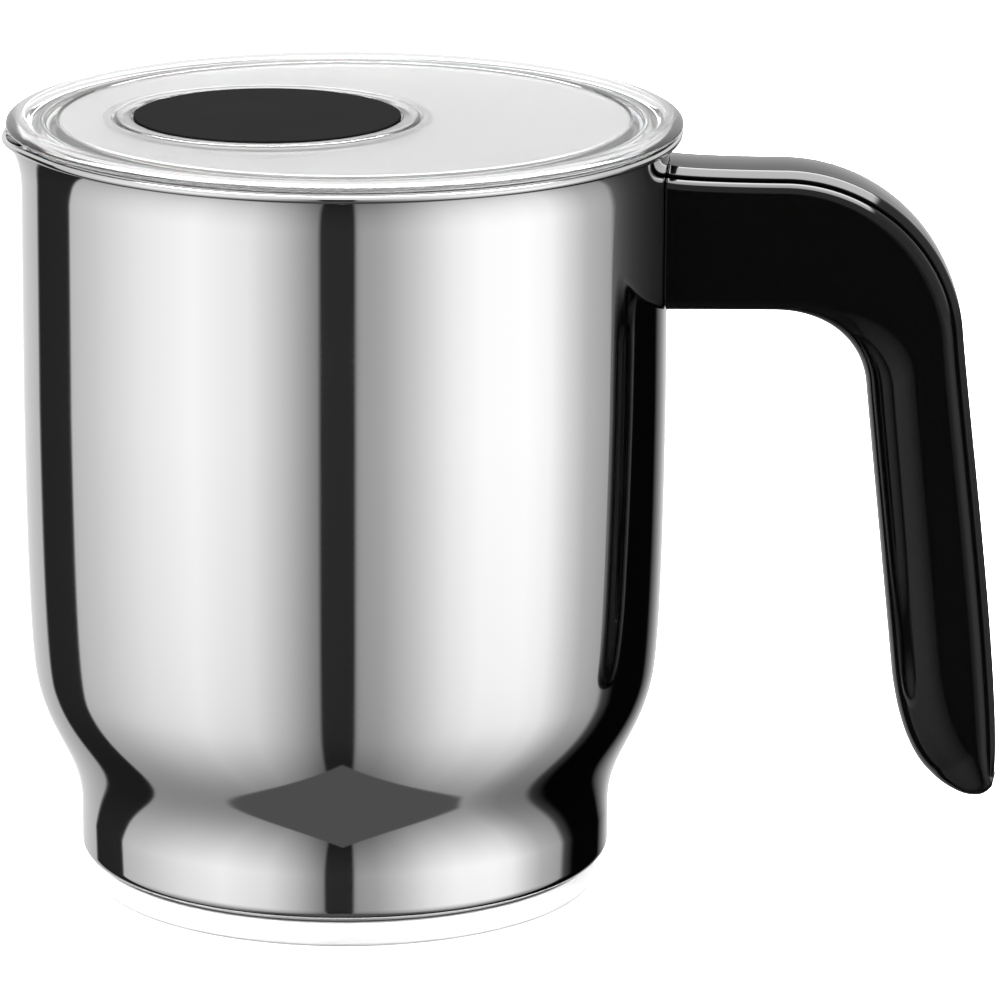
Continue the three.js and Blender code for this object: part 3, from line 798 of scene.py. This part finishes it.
@dataclass
class Handle:
    """The open-ended handle: a moulded shell and the strip that closes its channel."""

    jug: Jug
    half_width: float = 10.0
    arm_start: float = 58.0  # x of the first row, which is then laid on the jug's wall
    arm_end: float = 74.0
    arm_top: float = 129.42
    arm_fall: float = 0.9  # how far the arm's top drops on the way to the bend
    arm_bottom: float = 103.9
    gap: float = 0.3
    bend_x: float = 75.7
    bend_radius: float = 31.9
    bend_lean: float = 5.4  # degrees that the grip leans out where the bend ends
    outer_grip: tuple[tuple[float, float], ...] = ((108.6, 86.0), (115.6, 35.5), (114.5, 20.5))
    crook_x: float = 74.5
    crook_radius: float = 16.3
    inner_grip: tuple[tuple[float, float], ...] = ((92.05, 75.8), (94.6, 52.2), (96.1, 37.3))
    inner_tip: tuple[tuple[float, float], ...] = ((97.6, 25.7), (101.6, 15.7), (110.8, 16.5))
    seam_half_width: float = 7.9
    seam_depth: tuple[float, float] = (2.0, 2.1)  # of the shell's edge under the crown, on arm and grip
    strip_edge: float = 0.55  # how far the strip's edge stands above the shell's
    land_below: float = 1.1  # how far the strip's seat lies under that edge
    inner_rounding: tuple[float, float] = (2.6, 9.9)  # on the arm and on the grip
    shoulder: tuple[float, float] = (1.8, 2.6)
    cover_share: float = 0.955  # where the strip ends, as a share of the grip's length
    arm_rows: int = 26
    bend_rows: int = 72
    grip_rows: int = 130

    def tip_line(self) -> np.ndarray:
        """The rounded tip, from the outer line's end to the inner line's; the two lines share it."""
        end, low = self.outer_grip[-1], self.inner_tip[-1]
        return bezier([end, (end[0], low[1] - 0.2), low], 33)

    def outer_line(self) -> tuple[np.ndarray, np.ndarray, np.ndarray]:
        """The outer line's arm, bend and grip: an eased line, an arc, a curve to the tip's middle."""
        crest = self.arm_top - self.arm_fall
        arm = bezier([
            (self.arm_start, self.arm_top), (self.bend_x - 6, crest), (self.bend_x, crest),
        ], self.arm_rows)
        centre = (self.bend_x, crest - self.bend_radius)
        bend = arc(centre, self.bend_radius, 90, self.bend_lean, self.bend_rows)
        grip = np.vstack([bezier([tuple(bend[-1]), *self.outer_grip], 90), self.tip_line()[1:17]])
        return arm, bend, grip

    def inner_line(self) -> tuple[np.ndarray, np.ndarray, np.ndarray]:
        """The inner line's arm, bend and grip, which ends where the outer line does."""
        arm = np.array([(self.arm_start, self.arm_bottom), (self.crook_x, self.arm_bottom)])
        centre = (self.crook_x, self.arm_bottom - self.crook_radius)
        bend = arc(centre, self.crook_radius, 90, self.bend_lean, self.bend_rows)
        grip = np.vstack([
            bezier([tuple(bend[-1]), *self.inner_grip], 60),
            bezier([self.inner_grip[-1], *self.inner_tip], 60)[1:],
            self.tip_line()[16:-1][::-1],
        ])
        return arm, bend, grip

    def lines(self) -> tuple[np.ndarray, np.ndarray]:
        """The outer and the inner line of the handle in the X-Z plane, with rows that face each other."""
        along_arm = np.linspace(0, 1, self.arm_rows)
        along_grip = self.shares()[-(self.grip_rows - 1):]
        outer_arm, outer_bend, outer_grip = self.outer_line()
        inner_arm, inner_bend, inner_grip = self.inner_line()
        return (
            np.vstack([resample(outer_arm, along_arm), outer_bend[1:], resample(outer_grip, along_grip)]),
            np.vstack([resample(inner_arm, along_arm), inner_bend[1:], resample(inner_grip, along_grip)]),
        )

    def shares(self) -> np.ndarray:
        """Share of the grip's length at each row: 0 up to the bend's end, crowding towards the tip."""
        grip = np.sin(np.linspace(0, np.pi / 2, self.grip_rows))[1:]
        return np.concatenate([np.zeros(self.arm_rows + self.bend_rows - 1), grip])

    def bend_share(self) -> np.ndarray:
        """0 on the arm, rising smoothly to 1 through the bend, 1 on the grip."""
        bend = np.sin(np.linspace(0, np.pi / 2, self.bend_rows))[1:] ** 2
        return np.concatenate([np.zeros(self.arm_rows), bend, np.ones(self.grip_rows - 1)])

    def arm_to_grip(self, pair: tuple[float, float]) -> np.ndarray:
        """At each row, a measure that passes from its value on the arm to its value on the grip."""
        return pair[0] + (pair[1] - pair[0]) * self.bend_share()

    def sweep(self, section: np.ndarray, rows: slice, ends: tuple[bool, bool]) -> Surface:
        """Carries a section along the handle.

        A section point (y, depth) goes to the outer line plus depth along the direction from the outer
        to the inner line. On the arm, the places along X are stretched so that the first row lies on
        the jug's wall: x = (1 - u) * wall(y, z) + u * x, with u rising along the arm.

        Args:
            section: points of shape (rows, n, 2), for all rows of the handle.
            rows: the rows to use.
            ends: whether the first and the last row get a rounded, closed end.

        Returns:
            The closed surface.
        """
        outer, inner = self.lines()
        across = inner - outer
        depth = np.linalg.norm(across, axis=1)
        across = across / np.maximum(depth, 1e-6)[:, None]
        y = section[..., 0]
        flat = outer[:, None] + section[..., 1:2] * across[:, None]
        x, z = flat[..., 0], flat[..., 1]
        wall = np.sqrt((self.jug.radius_at(z) + self.gap) ** 2 - y**2)
        u = np.clip((x - self.arm_start) / (self.arm_end - self.arm_start), 0, 1)
        on_arm = (np.arange(len(x)) < self.arm_rows)[:, None]
        x = np.where(on_arm, (1 - u) * wall + u * x, x)
        grid = np.stack([x, y, z], axis=-1)[rows]
        pieces = [grid]
        if ends[0]:
            pieces.insert(0, self.closing(grid[0], grid[1]))
        if ends[1]:
            pieces.append(self.closing(grid[-1], grid[-2])[::-1])
        return Surface.lattice(np.vstack(pieces))

    @staticmethod
    def closing(edge: np.ndarray, inside: np.ndarray) -> np.ndarray:
        """Rows that close an end: the edge drawn in step by step towards its middle, then to a point."""
        middle = edge.mean(axis=0)
        out = (edge - inside).mean(axis=0)
        out /= np.linalg.norm(out)
        shrink = np.array([1.0, 0.3, 0.06, 0.03, 0.012, 0.0])[:, None, None]
        push = np.array([0.22, 0.22, 0.22, 0.2, 0.14, 0.0])[:, None, None]
        return (edge + (middle - edge) * shrink + out * push)[:-1]

    def shell_section(self) -> np.ndarray:
        """Section of the shell at each row: the strip's seat, round shoulders, flat sides, inner rounding."""
        outer, inner = self.lines()
        depth = np.linalg.norm(inner - outer, axis=1)
        share, bend = self.shares(), self.bend_share()
        tip = np.clip((share - 0.94) / 0.06, 0, 1)
        narrowing = np.sqrt(np.maximum(1 - tip**2.4, 0))
        width = self.half_width * narrowing
        past_cover = np.clip((share - self.cover_share) / 0.008, 0, 1)
        seam_depth = self.arm_to_grip(self.seam_depth)
        edge = np.minimum(seam_depth * (1 - past_cover) + 0.04, 0.25 * depth)
        brow = np.minimum(seam_depth + 0.04, 0.25 * depth)
        land = np.minimum(edge + self.land_below * (1 - past_cover), 0.35 * depth)
        seam = self.seam_half_width - 0.6 * bend + 0.25
        seam = (seam + (5.9 - seam) * past_cover) * narrowing
        side = np.stack([
            np.stack([seam, land], axis=-1), np.stack([seam + 0.02, edge], axis=-1),
            np.stack([width, brow], axis=-1), np.stack([width, depth], axis=-1),
        ], axis=1)
        corners = np.concatenate([side, side[:, ::-1] * np.array([-1.0, 1.0])], axis=1)
        still = np.zeros_like(depth)
        half = np.stack([
            still + 0.2, still + 0.12, self.arm_to_grip(self.shoulder), self.arm_to_grip(self.inner_rounding),
        ], axis=1)
        return rounded(corners, np.concatenate([half, half[:, ::-1]], axis=1), steps=12)

    def strip_section(self) -> np.ndarray:
        """Section of the closing strip at each row: crowned top, flat chamfers, thin edges."""
        bend = self.bend_share()
        half = self.seam_half_width - 0.6 * bend
        seam_depth = self.arm_to_grip(self.seam_depth)
        edge = seam_depth - self.strip_edge
        still = np.zeros_like(bend)
        right = np.stack([
            np.stack([half, edge], axis=-1), np.stack([still + 6.1, still + 0.35], axis=-1),
        ], axis=1)
        crown = np.zeros((len(bend), 1, 2))
        under = np.stack([np.stack([half - 0.3, seam_depth + 0.75], axis=-1)], axis=1)
        mirror = np.array([-1.0, 1.0])
        corners = np.concatenate([right, crown, right[:, ::-1] * mirror, under * mirror, under], axis=1)
        return rounded(corners, np.array([0.15, 0.35, 3.5, 0.35, 0.15, 0.1, 0.1]), steps=7)

    def build(self, finishes: Finishes) -> None:
        """Makes the handle's pieces."""
        strip_end = int(np.searchsorted(self.shares(), self.cover_share))
        shell = self.sweep(self.shell_section(), slice(0, None), (True, False))
        strip = self.sweep(self.strip_section(), slice(0, strip_end), (True, True))
        place("handle_shell_body", "handle_shell", shell, finishes.handle)
        place("handle_closing_strip", "handle_cover", strip, finishes.handle)
        repaint("handle_bracket", finishes.bracket)
        repaint("handle_screw_1", finishes.screw)
        repaint("handle_screw_2", finishes.screw)


@dataclass
class Whisk:
    """The magnetic hub with its sleeve, and the coil on its wire frame."""

    ring_radius: float = 21.0
    coil_radius: float = 3.8
    coil_wire: float = 0.5
    frame_wire: float = 0.8
    turns: int = 24
    height: float = 22.5
    spokes: int = 3
    magnets: int = 4
    segments: int = 96

    def coil_surface(self) -> Surface:
        """A helix round a ring: the twist is turns times the way round, the reach is the ring's radius plus
        the coil's radius times the cosine of the twist, and the height follows its sine."""
        way = np.linspace(0.004, 0.996, self.turns * 28)[:, None] * 2 * np.pi
        twist = self.turns * way
        radial = np.hstack([np.cos(way), np.sin(way), 0 * way])
        upward = np.array([0.0, 0.0, 1.0])
        side = np.cos(twist) * radial + np.sin(twist) * upward
        path = self.ring_radius * radial + self.height * upward + self.coil_radius * side
        return tube(path, side, self.coil_wire, 10)

    def frame_surface(self) -> Surface:
        """The ring, its spokes and the collar they are welded to."""
        turn = np.linspace(0, 2 * np.pi, 96, endpoint=False)[:, None]
        section = np.linspace(0, 2 * np.pi, 12, endpoint=False)
        reach = self.ring_radius + self.frame_wire * np.cos(section)
        ring = Surface.lattice(np.stack([
            reach * np.cos(turn), reach * np.sin(turn),
            self.height + self.frame_wire * np.sin(section) + 0 * turn,
        ], axis=-1), loop_rows=True)
        collar = turned([(4.3, 21, 0.2), (6, 21, 0.3), (6, 24, 0.3), (4.3, 24, 0.2)], self.segments)
        whole = ring + collar
        share = np.linspace(0, 1, 12)[:, None]
        for i in range(self.spokes):
            angle = i * 2 * math.pi / self.spokes
            outward = np.array([math.cos(angle), math.sin(angle), 0.0])
            path = (5.2 + (self.ring_radius - 5.2) * share) * outward + np.array([0, 0, self.height])
            whole = whole + tube(path, np.broadcast_to([0.0, 0.0, 1.0], path.shape), self.frame_wire, 12)
        return whole

    def hub_surface(self) -> Surface:
        """The hub's moulded body, hollow for the sleeve."""
        return turned([
            (0, 18.8, 0), (3.7, 18.8, 0.2), (3.7, 9.5, 0.2), (4.9, 9.5, 0.15), (4.9, 8.8, 0.15),
            (14.5, 8.8, 0.3), (15, 9.3, 0.2), (15, 13.4, 0.6), (13.8, 14.6, 0.8), (6.4, 14.6, 0.6),
            (5.8, 15.4, 0.5), (5.8, 20.6, 0.3),
            (4, 20.6, 0.2), (4, 27, 0.2), (2.7, 27, 0.2), (2.7, 30.6, 0.3), (0, 30.6, 0),
        ], self.segments)

    def build(self, finishes: Finishes) -> None:
        """Makes the whisk's pieces."""
        sleeve = turned([
            (2.12, 8.4, 0.1), (4.6, 8.4, 0.15), (4.6, 9.2, 0.1),
            (3.4, 9.2, 0.1), (3.4, 18.2, 0.25), (2.12, 18.2, 0.15),
        ], self.segments)
        cover = turned([
            (6.2, 7.6, 0.1), (14, 7.6, 0.3), (14.5, 8.1, 0.2), (14.5, 8.6, 0.1), (6.2, 8.6, 0.1),
        ], self.segments)
        knob = turned([
            (0, 31, 0), (3, 31, 0.2), (3, 27.3, 0.15), (4.4, 27.3, 0.3), (4.7, 29.6, 1.0), (6.3, 31.4, 0.9),
            (6.5, 33.4, 0.9), (5.2, 34.9, 1.0), (0, 35.2, 0),
        ], self.segments)
        place("whisk_sleeve", "whisk_bushing", sleeve, finishes.bearing)
        place("whisk_hub_body", "whisk_hub", self.hub_surface(), finishes.whisk_black)
        place("magnet_cover_plate", "magnet_cover", cover, finishes.whisk_black)
        place("whisk_wire_frame", "whisk_frame", self.frame_surface(), finishes.spring)
        place("froth_coil_wire", "froth_coil", self.coil_surface(), finishes.spring)
        place("whisk_lifting_knob", "whisk_knob", knob, finishes.whisk_black)
        for i in range(self.magnets):
            repaint(f"whisk_magnet_{i + 1}", finishes.nickel)


# ---------------------------------------------------------------- studio


@dataclass
class Studio:
    """Camera, floor and light: two tall panels with a gap, an overhead panel, pale surroundings."""

    camera_place: tuple[float, float, float] = (0.0271, -1.23613, 0.38793)
    pitch: float = 14.52  # degrees below the horizon
    roll: float = 0.291
    lens: float = 262.74
    sensor: float = 36.0
    backdrop: str = "#FFFFFF"
    overhead: float = 20.0
    front_light: float = 1.2  # above the horizon, on the camera's side
    back_light: float = 0.9
    gain: float = 1.62  # the metal reflects about 0.62 of the light, and the panels' greys are what it shows
    dark_floor: float = 0.072  # what the steel shows of the dark mat in front
    mat_reach: float = 1.04  # how far forward the mat's point lies, per unit of height above it
    mat_slope: float = 1.64  # how fast its sides draw in towards that point

    def camera(self) -> None:
        """Makes the camera."""
        data = bpy.data.cameras.new("studio_camera")
        data.lens, data.sensor_width = self.lens, self.sensor
        data.clip_start, data.clip_end = 0.05, 50.0
        camera = bpy.data.objects.new("studio_camera", data)
        tilt = Matrix.Rotation(math.radians(90 - self.pitch), 4, "X")
        lean = Matrix.Rotation(math.radians(self.roll), 4, "Z")
        camera.matrix_world = Matrix.Translation(Vector(self.camera_place)) @ tilt @ lean
        bpy.context.scene.collection.objects.link(camera)
        bpy.context.scene.camera = camera

    def floor(self) -> None:
        """A wide pale floor, round so that it has no corner in view. The steel doesn't mirror it."""
        radius, steps = 40.0, 96
        turn = np.linspace(0.0, 2 * np.pi, steps, endpoint=False)
        rim = np.column_stack([radius * np.cos(turn), radius * np.sin(turn), 0 * turn])
        mesh = bpy.data.meshes.new("studio_floor")
        mesh.from_pydata(rim.tolist(), [], [list(range(steps))])
        floor = bpy.data.objects.new("studio_floor", mesh)
        bpy.context.scene.collection.objects.link(floor)
        material = blank_material("matt_white_sweep")
        tree = material.node_tree
        grain = add(tree, "ShaderNodeTexNoise", {"Vector": object_point(tree, (900.0,) * 3), "Scale": 1.0})
        bump = add(tree, "ShaderNodeBump", {
            "Height": grain.outputs["Fac"], "Strength": 0.02, "Distance": 0.05 * MM,
        })
        shader = add(tree, "ShaderNodeBsdfPrincipled", {
            "Base Color": linear("#F4F4F4"), "Roughness": 0.9, "Normal": bump.outputs[0],
        })
        add(tree, "ShaderNodeOutputMaterial", {"Surface": shader.outputs[0]})
        mesh.materials.append(material)
        floor.visible_glossy = False

    def panels(self, tree: bpy.types.NodeTree, x: bpy.types.NodeSocket, front: bpy.types.NodeSocket,
               height: bpy.types.NodeSocket) -> bpy.types.NodeSocket:
        """Brightness below the horizon: a ramp of azimuth that fades towards the ground.

        Args:
            tree: the world's node tree.
            x: the direction's part towards the handle.
            front: its part towards the camera.
            height: its part upwards.

        Returns:
            The brightness.
        """
        turn = add(tree, "ShaderNodeMath", {0: x, 1: front}, operation="ARCTAN2")
        on_ramp = add(tree, "ShaderNodeMath", {
            0: turn.outputs[0], 1: 0.5 / math.pi, 2: 0.5,
        }, operation="MULTIPLY_ADD")
        ramp = add(tree, "ShaderNodeValToRGB", {"Fac": on_ramp.outputs[0]})
        stops = ramp.color_ramp.elements
        stops.remove(stops[1])
        for i, (azimuth, grey) in enumerate(self.panel_stops()):
            place_on_ramp = (azimuth + 180) / 360
            stop = stops.new(place_on_ramp) if i else stops[0]
            stop.position = place_on_ramp
            stop.color = linear(f"#{grey:02X}{grey:02X}{grey:02X}")
        elevation = add(tree, "ShaderNodeMath", {0: height}, operation="ARCSINE")
        fade = add(tree, "ShaderNodeMapRange", {
            "Value": elevation.outputs[0], "From Min": math.radians(-75), "From Max": math.radians(-14),
            "To Min": 0.06 * self.gain, "To Max": self.gain,
        })
        shown = add(tree, "ShaderNodeMath", {
            0: ramp.outputs["Color"], 1: fade.outputs[0],
        }, operation="MULTIPLY")
        return shown.outputs[0]

    def mat(self, tree: bpy.types.NodeTree, x: bpy.types.NodeSocket, front: bpy.types.NodeSocket,
            height: bpy.types.NodeSocket) -> bpy.types.NodeSocket:
        """1 where a direction meets the dark wedge of floor between the panels' feet, 0 elsewhere.

        The direction is carried down by one unit, to (x, front) / -height. The wedge is where
        mat_slope times the distance from the middle line plus the distance towards the front is under
        mat_reach, in front of the object.

        Args:
            tree: the world's node tree.
            x: the direction's part towards the handle.
            front: its part towards the camera.
            height: its part upwards.

        Returns:
            The share of wedge.
        """
        down = add(tree, "ShaderNodeMath", {0: height, 1: -1.0}, operation="MULTIPLY")
        drop = add(tree, "ShaderNodeMath", {0: down.outputs[0], 1: 0.05}, operation="MAXIMUM")
        ground_x = add(tree, "ShaderNodeMath", {0: x, 1: drop.outputs[0]}, operation="DIVIDE")
        ground_y = add(tree, "ShaderNodeMath", {0: front, 1: drop.outputs[0]}, operation="DIVIDE")
        sideways = add(tree, "ShaderNodeMath", {0: ground_x.outputs[0]}, operation="ABSOLUTE")
        reach = add(tree, "ShaderNodeMath", {
            0: sideways.outputs[0], 1: self.mat_slope, 2: ground_y.outputs[0],
        }, operation="MULTIPLY_ADD")
        near = add(tree, "ShaderNodeMapRange", {
            "Value": reach.outputs[0], "From Min": self.mat_reach, "From Max": self.mat_reach - 0.04,
        }, interpolation_type="SMOOTHSTEP")
        far = add(tree, "ShaderNodeMapRange", {
            "Value": ground_y.outputs[0], "From Min": 0.1, "From Max": 0.14,
        }, interpolation_type="SMOOTHSTEP")
        share = add(tree, "ShaderNodeMath", {0: near.outputs[0], 1: far.outputs[0]}, operation="MULTIPLY")
        return share.outputs[0]

    def upper(self, tree: bpy.types.NodeTree, x: bpy.types.NodeSocket, y: bpy.types.NodeSocket,
              height: bpy.types.NodeSocket) -> bpy.types.NodeSocket:
        """Brightness above the horizon: pale walls in front and behind, and a square panel overhead.

        Args:
            tree: the world's node tree.
            x: the direction's part towards the handle.
            y: its part away from the camera.
            height: its part upwards.

        Returns:
            The brightness.
        """
        walls = add(tree, "ShaderNodeMapRange", {
            "Value": y, "From Min": -0.2, "From Max": 0.3,
            "To Min": self.front_light, "To Max": self.back_light,
        }, interpolation_type="SMOOTHSTEP")
        rise = add(tree, "ShaderNodeMath", {0: height, 1: 0.05}, operation="MAXIMUM")
        panel_x = add(tree, "ShaderNodeMath", {0: x, 1: rise.outputs[0]}, operation="DIVIDE")
        panel_y = add(tree, "ShaderNodeMath", {0: y, 1: rise.outputs[0]}, operation="DIVIDE")
        off_centre = add(tree, "ShaderNodeMath", {0: panel_y.outputs[0], 1: 0.35}, operation="SUBTRACT")
        sideways = add(tree, "ShaderNodeMath", {0: panel_x.outputs[0]}, operation="ABSOLUTE")
        lengthways = add(tree, "ShaderNodeMath", {0: off_centre.outputs[0]}, operation="ABSOLUTE")
        across = add(tree, "ShaderNodeMapRange", {
            "Value": sideways.outputs[0], "From Min": 0.9, "From Max": 0.8,
        }, interpolation_type="SMOOTHSTEP")
        along = add(tree, "ShaderNodeMapRange", {
            "Value": lengthways.outputs[0], "From Min": 0.8, "From Max": 0.7,
        }, interpolation_type="SMOOTHSTEP")
        panel = add(tree, "ShaderNodeMath", {0: across.outputs[0], 1: along.outputs[0]}, operation="MULTIPLY")
        high = add(tree, "ShaderNodeMapRange", {
            "Value": height, "From Min": 0.3, "From Max": 0.4,
        }, interpolation_type="SMOOTHSTEP")
        share = add(tree, "ShaderNodeMath", {0: panel.outputs[0], 1: high.outputs[0]}, operation="MULTIPLY")
        return add(tree, "ShaderNodeMix", {
            0: share.outputs[0], 2: walls.outputs[0], 3: self.overhead,
        }, data_type="FLOAT").outputs[0]

    def light(self) -> None:
        """Surroundings as a function of direction. The eye and light that comes through the lid see white."""
        world = bpy.data.worlds.new("studio")
        world.use_nodes = True
        tree = world.node_tree
        tree.nodes.clear()
        direction = add(tree, "ShaderNodeTexCoord").outputs["Generated"]
        x, y, height = add(tree, "ShaderNodeSeparateXYZ", {"Vector": direction}).outputs
        front = add(tree, "ShaderNodeMath", {0: y, 1: -1.0}, operation="MULTIPLY").outputs[0]
        ground = add(tree, "ShaderNodeMix", {
            0: self.mat(tree, x, front, height), 2: self.panels(tree, x, front, height),
            3: self.dark_floor * self.gain,
        }, data_type="FLOAT")
        horizon = add(tree, "ShaderNodeMapRange", {
            "Value": height, "From Min": -0.06, "From Max": 0.02,
        }, interpolation_type="SMOOTHSTEP")
        whole = add(tree, "ShaderNodeMix", {
            0: horizon.outputs[0], 2: ground.outputs[0], 3: self.upper(tree, x, y, height),
        }, data_type="FLOAT")
        studio = add(tree, "ShaderNodeBackground", {"Color": (1, 1, 1, 1), "Strength": whole.outputs[0]})
        backdrop = add(tree, "ShaderNodeBackground", {"Color": linear(self.backdrop), "Strength": 1.0})
        ray = add(tree, "ShaderNodeLightPath")
        sees_white = add(tree, "ShaderNodeMath", {
            0: ray.outputs["Is Camera Ray"], 1: ray.outputs["Is Transmission Ray"],
        }, operation="MAXIMUM")
        either = add(tree, "ShaderNodeMixShader", {
            0: sees_white.outputs[0], 1: studio.outputs[0], 2: backdrop.outputs[0],
        })
        add(tree, "ShaderNodeOutputWorld", {"Surface": either.outputs[0]})
        bpy.context.scene.world = world

    @staticmethod
    def panel_stops() -> list[tuple[float, int]]:
        """Azimuth in degrees from the front towards the handle, and the grey that the steel shows there.

        From the left: the pale room behind, a black flag, the left panel, the gap, the right panel, a
        second flag behind the handle, and the room again.
        """
        return [
            (-180, 230), (-171, 222), (-163, 192), (-140, 175), (-139, 34), (-114, 38), (-112.5, 185),
            (-99, 200), (-75, 231), (-54, 246), (-33, 229), (-21, 193), (-8.3, 131), (-7.6, 43),
            (5.0, 41), (5.7, 150), (15, 165), (27, 201), (39, 235), (51, 252), (69, 255),
            (79, 246), (88, 213), (97, 180), (110, 158), (113, 70), (120, 4), (148, 4), (155, 110),
            (180, 230),
        ]

    def build(self) -> None:
        """Sets up the studio."""
        self.camera()
        self.floor()
        self.light()
        view = bpy.context.scene.view_settings
        view.view_transform, view.look = "Standard", "None"


def main() -> None:
    """Builds the studio and every sub-assembly."""
    logging.basicConfig(level=logging.INFO, format="%(name)s: %(message)s")
    Studio().build()
    finishes = Finishes()
    jug = Jug()
    for part in (jug, Spindle(), Lid(), Handle(jug), Whisk()):
        part.build(finishes)
        LOG.info("%s done", type(part).__name__)


if __name__ == "__main__":
    main()
